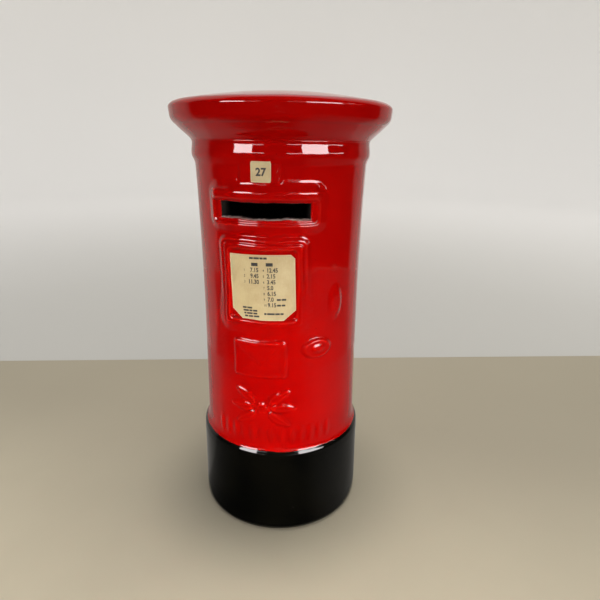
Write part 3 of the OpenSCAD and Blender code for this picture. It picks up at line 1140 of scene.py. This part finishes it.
class Sticker:
    """A sheet of paper stuck on the barrel. u runs right from its middle, v down from its top."""

    def __init__(self, turn, mid_z, width, height, tilt, half_widths, under, lift):
        self.turn, self.top = turn, mid_z + height / 2
        self.width, self.height = width, height
        self.tilt = math.radians(tilt)
        self.half_widths, self.under, self.lift = half_widths, under, lift

    def at(self, u, v, above):
        """Points at sticker places, a height above the paper's own back."""
        cu, cv = u, self.height / 2 - v
        x = cu * math.cos(self.tilt) + cv * math.sin(self.tilt)
        z = self.top - self.height / 2 + cv * math.cos(self.tilt) - cu * math.sin(self.tilt)
        theta = self.turn + np.arcsin(np.clip(x / ARC_R, -1, 1))
        return spot(theta, z, self.under(theta, z) + 0.02 + self.curl(u, v) + above)

    def edge(self, u, v):
        """Distance from the nearest edge of the paper."""
        left, right = self.half_widths(v)
        side = np.minimum(u + left, right - u)
        return np.clip(np.minimum(side, np.minimum(v, self.height - v)), 0, 9)

    def curl(self, u, v):
        """How far the paper's edges and cut corners have lifted."""
        near = np.exp(-self.edge(u, v) / 0.5)
        corner = np.exp(-(np.hypot(np.abs(u) - self.width / 2, v - self.height) / 4.2) ** 2)
        return near * (self.lift * (0.35 + 0.65 * corner))

    def build(self, name, steps):
        """The paper as a closed sheet, with finer steps at its edges."""
        v = np.linspace(0, self.height, int(self.height / steps) + 1)
        breaks = [0.12, 0.3, 1.4, self.height - 4.0, self.height - 0.3, self.height - 0.12]
        v = np.unique(np.concatenate([v, [b for b in breaks if 0 < b < self.height]]))
        across = np.linspace(-1, 1, int(self.width / steps) + 1)
        across = np.unique(np.concatenate([across, [-0.99, -0.975, 0.975, 0.99]]))
        share, down = np.meshgrid(across, v)
        left, right = self.half_widths(down)
        rough = 0.03 * np.sin(9 * down + 1) * np.abs(share) ** 30
        u = np.where(share < 0, share * left, share * right) + rough
        front = self.at(u, down, PAPER_T)[::-1]
        back = self.at(u, down, 0.0)[::-1]
        # edge is 1 at the paper's edges, where the paper material paints a highlight.
        edge = np.exp(-self.edge(u, down) / 0.28)[::-1]
        obj = shell(name, front, back, normals=grid_normals(front), values={"edge": edge})
        finish_piece(obj, name, "sticker_paper", PAPER)


TAG = Sticker(TAG_TURN, TAG_MID_Z, TAG_W, TAG_H, 0.6, tag_half_widths, under_tag, 0.06)
SHEET = Sticker(SHEET_TURN, SHEET_MID_Z, SHEET_W, SHEET_H, -1.5, sheet_half_widths, under_sheet, 0.22)

INK_T = 0.05
INK_SINK = 0.012  # how far the ink's back lies in the paper


def glyphs(text, height, align="LEFT", squeeze=0.85, weight=0.012):
    """Points (right, up, thickness) in mm and faces of figures set in one line."""
    curve = bpy.data.curves.new("figures", "FONT")
    curve.body = text
    curve.align_x = align
    curve.extrude = 0.5
    curve.offset = weight
    curve.resolution_u = 3
    obj = bpy.data.objects.new("figures", curve)
    scene.collection.objects.link(obj)
    bpy.context.view_layer.update()
    mesh = bpy.data.meshes.new_from_object(obj.evaluated_get(bpy.context.evaluated_depsgraph_get()))
    co = np.array([v.co for v in mesh.vertices])
    faces = [list(p.vertices) for p in mesh.polygons]
    bpy.data.objects.remove(obj)
    bpy.data.meshes.remove(mesh)
    figure_h = 0.72  # of the font, at size 1
    scale = height / figure_h
    return co * [scale * squeeze, scale, 1.0], faces


class Print:
    """Ink on a sticker, gathered into one mesh."""

    def __init__(self, sticker):
        self.sticker, self.points, self.faces = sticker, [], []

    def add(self, u, v, thick, faces):
        start = sum(len(p) for p in self.points)
        above = PAPER_T - INK_SINK + (thick + 0.5) * INK_T
        self.points.append(self.sticker.at(u - self.sticker.width / 2, v, above))
        self.faces.extend([[n + start for n in face] for face in faces])

    def figures(self, text, left, line, height, **style):
        """Figures whose feet stand on a line below the sticker's top."""
        co, faces = glyphs(text, height, **style)
        self.add(left + co[:, 0], line - co[:, 1], co[:, 2], faces)

    def bar(self, left, right, top, height):
        """A plain bar in place of a word."""
        count = max(2, int((right - left) / 0.5) + 1)
        foot = top + height
        corners = np.array([(top, -0.5), (foot, -0.5), (foot, 0.5), (top, 0.5)])
        u = np.repeat(np.linspace(left, right, count), 4)
        v, thick = np.tile(corners, (count, 1)).T
        end = 4 * (count - 1)
        ends = [[0, 1, 2, 3], [end + 3, end + 2, end + 1, end]]
        self.add(u, v, thick, band_faces(count, 4) + ends)

    def dashes(self, left, top, height, lengths, gap=0.28):
        """A line of bars in place of a line of small words."""
        for length in lengths:
            self.bar(left, left + length, top, height)
            left += length + gap

    def build(self, name):
        obj = make_mesh(name, np.vstack(self.points), self.faces)
        obj.data.polygons.foreach_set("use_smooth", [False] * len(obj.data.polygons))
        finish_piece(obj, None, "sticker_paper", INK)


def timetable_print():
    """Two columns of times, with bars where words would be."""
    ink = Print(SHEET)
    ink.dashes(7.9, 0.85, 0.75, (1.5, 2.1, 1.2, 1.3), 0.22)
    ink.bar(8.6, 11.1, 2.95, 1.25)
    ink.bar(14.2, 16.8, 2.95, 1.25)
    first_line, pitch, tall = 6.45, 2.25, 1.62
    mornings = ("7.15", "9.45", "11.30")
    afternoons = ("12.45", "2.15", "3.45", "5.0", "6.15", "7.0", "9.15")
    columns = ((mornings, 11.35, "RIGHT", 5.4), (afternoons, 14.4, "LEFT", 12.9))
    number = 0
    for times, edge, align, number_left in columns:
        for i, time in enumerate(times):
            number += 1
            line = first_line + i * pitch
            ink.figures(time, edge, line, tall, align=align, weight=0.03)
            ink.figures(str(number), number_left, line - 0.2, 0.95, weight=0.01)
    for row, lengths in ((5, (1.5, 1.7)), (6, (1.5, 1.3))):
        ink.dashes(17.9, first_line + row * pitch - 0.95, 0.7, lengths)
    for i, lengths in enumerate(((1.6, 2.0), (2.2, 1.2, 1.7), (0.9, 2.3, 1.6), (1.3, 1.8, 2.2))):
        ink.dashes(4.3 + 0.25 * i, 20.2 + 1.12 * i, 0.7, lengths)
    ink.dashes(12.9, 22.4, 0.72, (0.9, 2.9, 1.7, 1.2), 0.22)
    ink.build("timetable_print")


def number_print():
    """A plain number in the middle of its sticker."""
    ink = Print(TAG)
    ink.figures("27", TAG_W / 2, 4.75, 2.65, align="CENTER", squeeze=0.95, weight=0.035)
    ink.build("number_print")


# ---- stopper ----

def stopper():
    """A soft cup-shaped plug; its flange has moulded rings and a rolled edge."""
    low_z = FLANGE_LOW_Z
    top_z = FLOOR_LOW_Z - 0.05
    under = smooth_line(offset([(0, 0.75), (7.6, 0.75), (8.3, 0.55), (8.9, 0.12), (9.7, 0), (10.5, 0.12),
                                (11.1, 0.55), (11.8, 0.70), (15.4, 0.70), (16.2, 0.50), (16.9, 0.12),
                                (17.8, 0), (18.9, 0)], 0, low_z), 4)
    rolled = arc((FLANGE_R - 0.85, low_z + 0.85), 0.85, -80, 0, 7)
    upper = arc((FLANGE_R - 0.5, top_z - 0.5), 0.5, 0, 90, 5)
    shank = smooth_line([(SHANK_R + 0.25, top_z), (SHANK_R, top_z + 0.25), (SHANK_R, FLOOR_TOP_Z - 0.3),
                         (SHANK_R - 0.25, FLOOR_TOP_Z + 0.5), (SHANK_R - 0.6, FLOOR_TOP_Z + 1.1),
                         (SHANK_R - 0.6, STOPPER_TOP_Z - 1.6), (SHANK_R - 0.95, STOPPER_TOP_Z - 0.5),
                         (SHANK_R - 1.7, STOPPER_TOP_Z), (SHANK_R - 2.4, STOPPER_TOP_Z - 0.25)], 4)
    shank[:, 0] = np.minimum(shank[:, 0], SHANK_R + 0.25)
    shank[1:, 0] = np.where(shank[1:, 1] > top_z + 0.2, np.minimum(shank[1:, 0], SHANK_R), shank[1:, 0])
    cup = np.array([(SHANK_R - 2.65, STOPPER_TOP_Z - 1.0), (SHANK_R - 2.75, top_z + 1.4),
                    (SHANK_R - 3.6, top_z + 0.5), (0.0, top_z + 0.4)])
    line = np.vstack([under, rolled, upper, shank, cup])
    line[0, 0] = 0.0
    obj = lathe("stopper", line, cols=192)
    finish_piece(obj, "stopper", "stopper_rubber", RUBBER, body="plug")


def stopper_grip():
    """The moulded bar across the stopper's underside that a finger and thumb can pinch."""
    length, width = 6.6, 1.7
    base_z, low_z = FLANGE_LOW_Z + 0.85, 0.35
    rows = []
    for t in np.linspace(-1, 1, 41):
        half = width * math.sqrt(max(1 - abs(t) ** 6, 0.0004))
        low_here = base_z + (low_z - base_z) * max(1 - abs(t) ** 5, 0.001)
        a = np.linspace(0, math.pi, 25)
        y = -half * np.cos(a)
        z = base_z + (low_here - base_z) * np.sin(a) ** 0.7
        rows.append(np.stack([np.full_like(a, t * length), y, z], 1))
    front = np.stack(rows)
    back = front.copy()
    back[:, :, 2] = base_z + 0.3
    obj = shell("stopper_grip", front, back)
    finish_piece(obj, None, "stopper_rubber", RUBBER, body="plug")


# ---- stage ----

MAT_TURN = math.radians(12.8)
WINDOW_FAR = 385  # from the axis to each window panel


def sweep_material():
    """Pale paper that lies a little in shade near the box and brightens away from it."""
    m = Nodes("stage_sweep")
    base = m.tint((0.43, 0.42, 0.385), m.from_foot(), 0.15, 1.3, 1, (0.90, 0.88, 0.84))
    m.set(Base_Color=base, Roughness=0.85)
    return m.material


def mat_material():
    """Plain card, in more shade towards the wall and close round the box."""
    m = Nodes("stage_mat")
    base = m.tint((0.55, 0.49, 0.355), m.noise(22, 3.0), 0.35, 0.65, 1, (0.53, 0.47, 0.34))
    base = m.tint(base, m.along("Y"), -0.12, 0.06, 1, (0.325, 0.288, 0.21))
    close = m.remap(m.from_foot(), 0.034, 0.072, 0.45, 0)
    m.set(Base_Color=m.mix(close, base, (0.20, 0.18, 0.13)), Roughness=0.65)
    return m.material


def stage_mesh(name, points, faces, material, values=None):
    """An object that isn't part of the money box."""
    obj = make_mesh(name, points, faces, values=values)
    obj.data.materials.append(material)
    return obj


def stage():
    """A pale sweep all round and a plain pale mat on it."""
    cols = 96
    floor_z = -2
    theta = np.arange(cols) * 2 * math.pi / cols
    outline = np.vstack([[(0.01, floor_z), (900, floor_z), (1300, floor_z)],
                         arc((1300, floor_z + 600), 600, -80, 0, 12), [(1900, 1500)]])
    grid = np.stack([spot(theta, z, r) for r, z in outline])
    stage_mesh("stage_floor", grid, band_faces(len(outline), cols), sweep_material())
    mat_r, front, back = 640, -400, 138
    right = np.array([math.cos(MAT_TURN), math.sin(MAT_TURN)])
    ahead = np.array([-math.sin(MAT_TURN), math.cos(MAT_TURN)])
    corners = [a * right + b * ahead for a, b in
               ((-mat_r, front), (mat_r, front), (mat_r, back), (-mat_r, back))]
    points = [(x, y, z) for z in (floor_z, 0) for x, y in corners]
    sides = [[4, 5, 6, 7], [0, 1, 5, 4], [1, 2, 6, 5], [2, 3, 7, 6], [3, 0, 4, 7]]
    mat = stage_mesh("stage_mat", points, sides, mat_material())
    mat.data.polygons.foreach_set("use_smooth", [False] * 5)


def card(name, outline, tones):
    """A sheet round the axis, with a glow for each angle in tones, which only the glaze mirrors: painted
    reflection.
    """
    angles, glows = np.array(tones, float).T
    azimuth = np.linspace(angles[0], angles[-1], 180)
    grid = np.stack([spot(np.radians(azimuth), z, r) for r, z in outline])
    glow = np.tile(np.interp(azimuth, angles, glows), (len(outline), 1))
    m = Nodes(name)
    m.set(Base_Color=(0, 0, 0), Specular_IOR_Level=0.0, Roughness=1.0)
    m.set(Emission_Color=(1.0, 0.95, 0.86), Emission_Strength=m.attribute("glow"))
    faces = band_faces(len(outline), len(azimuth), ring=False)
    obj = stage_mesh(name, grid, faces, m.material, {"glow": glow})
    obj.visible_camera = False
    obj.visible_diffuse = False
    obj.visible_shadow = False
    obj.visible_transmission = False


def dark_room():
    """Painted reflection for the front of the glaze: glowing sheets for a dim room over a mat in its own
    shade.
    """
    dim = 0.003
    # Painted reflection: dark and glowing cards, seen only by the glaze, stand in for the room and the mat.
    card("stage_dim_room_reflection", [(430, 2), (430, 900)],
         [(-150, 0.55), (-120, 0.50), (-92, 0.42), (-86, 0.30), (-82, 0.02), (-76, dim),
          (100, dim), (120, 0.02), (124, 0.28), (132, 0.38), (160, 0.50)])
    card("stage_near_floor_reflection", [(38, 0.6), (190, 0.6)],
         [(-150, 0.36), (-112, 0.30), (-90, 0.25), (-80, 0.20), (-75, 0.10), (-60, 0.05), (-46, 0.02),
          (-30, dim), (30, dim), (42, 0.03), (53, 0.08), (72, 0.13), (104, 0.16), (125, 0.20), (150, 0.36)])
    card("stage_far_floor_reflection", [(190, 0.6), (430, 0.6)],
         [(-150, 0.50), (-112, 0.42), (-96, 0.36), (-91, 0.08), (-72, 0.05), (-66, 0.015), (-58, dim),
          (38, dim), (44, 0.04), (50, 0.08), (80, 0.09), (110, 0.10), (122, 0.14), (131, 0.35), (160, 0.45)])
    card("stage_dim_ceiling_reflection", [(430, 900), (1, 900)], [(-180, 0.02), (180, 0.02)])


def area_light(name, place, aim, power, color):
    """An area light at place, in metres, that points at aim."""
    data = bpy.data.lights.new(name, "AREA")
    data.energy = power
    data.color = color
    obj = bpy.data.objects.new(name, data)
    scene.collection.objects.link(obj)
    obj.location = place
    obj.rotation_euler = (Vector(aim) - Vector(place)).to_track_quat("-Z", "Y").to_euler()
    return obj


def window_panel(name, azimuth, low_z, high_z, width, radiance):
    """An upright bright panel that faces the axis and is only seen in the glaze."""
    w, h = width * MM, (high_z - low_z) * MM
    place = spot(math.radians(azimuth), (low_z + high_z) / 2, WINDOW_FAR) * MM
    power = radiance * math.pi * w * h
    obj = area_light(name, place, (0, 0, place[2]), power, (1.0, 0.95, 0.96))
    obj.data.shape = "RECTANGLE"
    obj.data.size = w
    obj.data.size_y = h
    obj.visible_diffuse = False


def soft_disk(name, place, size, power, spread=180, aim_z=0.09):
    """A round soft light aimed at the middle of the box, which the glaze doesn't mirror."""
    obj = area_light(name, place, (0, 0, aim_z), power, (1.0, 0.97, 0.93))
    obj.data.shape = "DISK"
    obj.data.size = size
    obj.data.spread = math.radians(spread)
    obj.visible_glossy = False


def lights():
    """Two windows, each with the bright edges of the pane beside it, and a soft ceiling."""
    low_z, high_z, bar = 175, 350, 12
    sky, pane = 16, 9
    window_panel("window_left", -32.5, low_z, high_z, 159, sky)
    window_panel("window_right", 53, low_z, high_z, 238, sky)
    for name, azimuth, width in (("left", -14, 90), ("middle", 26.7, 116), ("right", 81, 136)):
        window_panel("pane_top_" + name, azimuth, high_z - bar, high_z, width, pane)
        window_panel("pane_foot_" + name, azimuth, low_z, low_z + bar, width, pane)
    soft_disk("ceiling", (0.22, 0.2, 1.3), 0.9, 9.0)
    soft_disk("key", (0.55, -1.1, 1.0), 1.0, 4.8)
    soft_disk("fill", (0.08, -0.40, 0.05), 0.12, 0.108, 42, 0.045)
    world = bpy.data.worlds.new("room")
    scene.world = world
    world.use_nodes = True
    back = world.node_tree.nodes["Background"]
    back.inputs["Color"].default_value = (0.93, 0.95, 1.0, 1)
    back.inputs["Strength"].default_value = 0.63


def camera():
    """The eye in front and a little to the right, looking down past the middle of the box."""
    distance, eye_z = 203.3, 162.5
    azimuth = math.radians(12.3)
    heading = azimuth - math.radians(2.37)
    pitch = math.radians(18.48)
    roll = math.radians(0.76)
    data = bpy.data.cameras.new("camera")
    data.lens = 28.68
    data.sensor_width = 36.0
    data.clip_start = 0.01
    data.clip_end = 20
    obj = bpy.data.objects.new("camera", data)
    scene.collection.objects.link(obj)
    scene.camera = obj
    obj.location = Vector(spot(azimuth, eye_z, distance)) * MM
    forward = Vector((-math.sin(heading) * math.cos(pitch), math.cos(heading) * math.cos(pitch),
                      -math.sin(pitch)))
    turn = forward.to_track_quat("-Z", "Y").to_matrix()
    obj.rotation_euler = (turn @ Matrix.Rotation(roll, 3, "Z")).to_euler()


camera()
stage()
dark_room()
lights()

cap()
neck_ring()
barrel()
plinth_ledge()
plinth()
base_floor()
slot_hood()
slot_cut_edge()
for panel in PATCHES:
    if panel != "slot_hood":
        relief_panel(panel)
TAG.build("number_label", 0.35)
number_print()
SHEET.build("timetable_label", 0.4)
timetable_print()
stopper()
stopper_grip()
